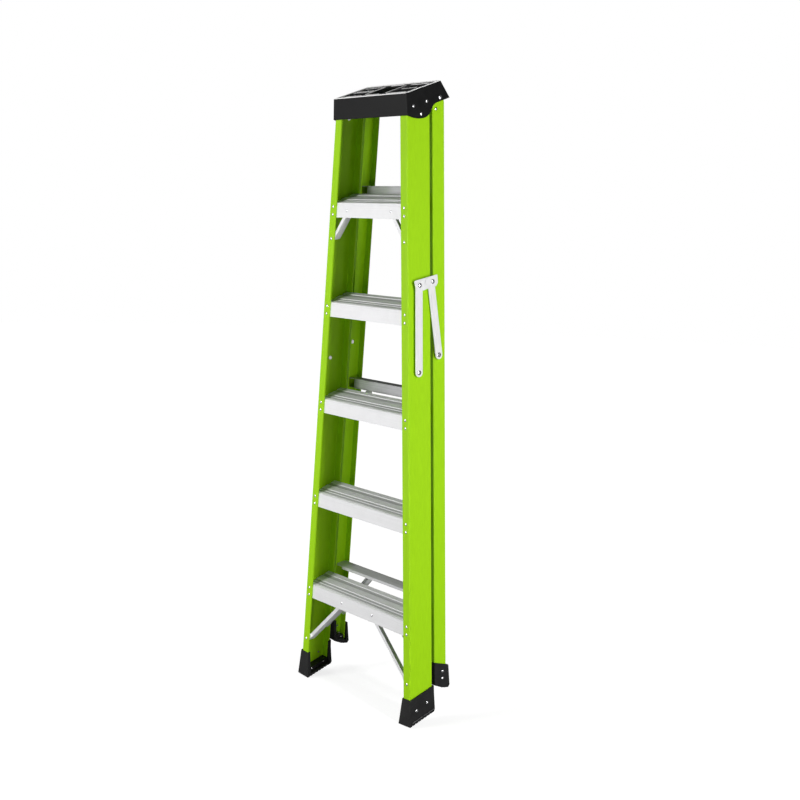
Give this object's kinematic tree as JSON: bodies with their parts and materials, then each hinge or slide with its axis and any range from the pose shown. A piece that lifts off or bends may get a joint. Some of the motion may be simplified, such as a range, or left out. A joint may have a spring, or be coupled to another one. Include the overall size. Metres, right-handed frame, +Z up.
{
  "type": "folding stepladder",
  "caption": "Folding fibreglass stepladder standing closed: tapered channel rails, ribbed metal treads, tool-tray cap, hinged rear legs and side spreaders that lock straight.",
  "frame": {"origin": "centre of the bounding box's base, on the floor under the closed ladder", "axes": "+Z up along the ladder, +X to the right seen from the climbing side, +Y to the back (the rear legs)"},
  "size_m": [0.578, 0.163, 1.8858],
  "materials": {
    "fibreglass_green": "satin glass-fibre laminate",
    "black_plastic": "fine moulded grain",
    "black_rubber": "matte moulded",
    "step_aluminium": "mill finish, extruded",
    "rivet_metal": "bright rivet head",
    "spreader_metal": "bright zinc-look strip",
    "brace_aluminium": "mill finish"
  },
  "bodies": {
    "front_frame": {"front_rail_left": "fibreglass_green", "front_rail_right": "fibreglass_green", "step_1": "step_aluminium", "step_2": "step_aluminium", "step_3": "step_aluminium", "step_4": "step_aluminium", "step_5": "step_aluminium", "step_rivets": "rivet_metal", "top_cap": "black_plastic", "cap_rivets": "rivet_metal", "hinge_pins": "rivet_metal", "hinge_washers": "rivet_metal", "upper_brace_left": "brace_aluminium", "upper_brace_right": "brace_aluminium", "lower_front_brace_left": "brace_aluminium", "lower_front_brace_right": "brace_aluminium", "lower_rear_brace_left": "brace_aluminium", "lower_rear_brace_right": "brace_aluminium", "brace_rivets": "rivet_metal", "front_foot_left": "black_rubber", "front_foot_right": "black_rubber", "front_foot_rivets": "rivet_metal", "front_spreader_pivots": "rivet_metal"},
    "rear_frame": {"rear_rail_left": "fibreglass_green", "rear_rail_right": "fibreglass_green", "hinge_plate_left": "brace_aluminium", "hinge_plate_right": "brace_aluminium", "rear_bar_top": "brace_aluminium", "rear_bar_middle": "brace_aluminium", "rear_bar_bottom": "brace_aluminium", "rear_diagonal_left": "brace_aluminium", "rear_diagonal_right": "brace_aluminium", "rear_knee_top_left": "brace_aluminium", "rear_knee_top_right": "brace_aluminium", "rear_knee_middle_left": "brace_aluminium", "rear_knee_middle_right": "brace_aluminium", "rear_rivets": "rivet_metal", "rear_foot_left": "black_rubber", "rear_foot_right": "black_rubber", "rear_foot_rivets": "rivet_metal", "rear_spreader_pivots": "rivet_metal"},
    "spreader_front_arm_right": {"spreader_front_arm_right": "spreader_metal"},
    "spreader_link_right": {"spreader_link_right": "spreader_metal", "link_rivets_right": "rivet_metal"},
    "spreader_rear_arm_right": {"spreader_rear_arm_right": "spreader_metal"},
    "spreader_front_arm_left": {"spreader_front_arm_left": "spreader_metal"},
    "spreader_link_left": {"spreader_link_left": "spreader_metal", "link_rivets_left": "rivet_metal"},
    "spreader_rear_arm_left": {"spreader_rear_arm_left": "spreader_metal"}
  },
  "joints": [
    {"name": "fold", "type": "hinge", "parent": "front_frame", "child": "rear_frame", "pos_m": [0, 0.04465, 1.83849], "axis": [1, 0, 0], "range_deg": [0, 33.43]},
    {"name": "front_arm_pivot_right", "type": "hinge", "parent": "front_frame", "child": "spreader_front_arm_right", "pos_m": [0, -0.04215, 1.04849], "axis": [1, 0, 0], "range_deg": [-70.83, 0]},
    {"name": "link_pivot_right", "type": "hinge", "parent": "spreader_front_arm_right", "child": "spreader_link_right", "pos_m": [0, -0.04085, 1.29989], "axis": [1, 0, 0], "range_deg": [0, 76.77]},
    {"name": "rear_arm_pivot_right", "type": "hinge", "parent": "rear_frame", "child": "spreader_rear_arm_right", "pos_m": [0, 0.03785, 1.09709], "axis": [1, 0, 0], "range_deg": [0, 67.5]},
    {"name": "front_arm_pivot_left", "type": "hinge", "parent": "front_frame", "child": "spreader_front_arm_left", "pos_m": [0, -0.04215, 1.04849], "axis": [1, 0, 0], "range_deg": [-70.83, 0]},
    {"name": "link_pivot_left", "type": "hinge", "parent": "spreader_front_arm_left", "child": "spreader_link_left", "pos_m": [0, -0.04085, 1.29989], "axis": [1, 0, 0], "range_deg": [0, 76.77]},
    {"name": "rear_arm_pivot_left", "type": "hinge", "parent": "rear_frame", "child": "spreader_rear_arm_left", "pos_m": [0, 0.03785, 1.09709], "axis": [1, 0, 0], "range_deg": [0, 67.5]}
  ],
  "couplings": [
    {"joint": "front_arm_pivot_right", "follows": "fold", "ratio": -2.1181},
    {"joint": "link_pivot_right", "follows": "fold", "ratio": 2.2958},
    {"joint": "rear_arm_pivot_right", "follows": "fold", "ratio": 2.0183},
    {"joint": "front_arm_pivot_left", "follows": "fold", "ratio": -2.1181},
    {"joint": "link_pivot_left", "follows": "fold", "ratio": 2.2958},
    {"joint": "rear_arm_pivot_left", "follows": "fold", "ratio": 2.0183}
  ]
}
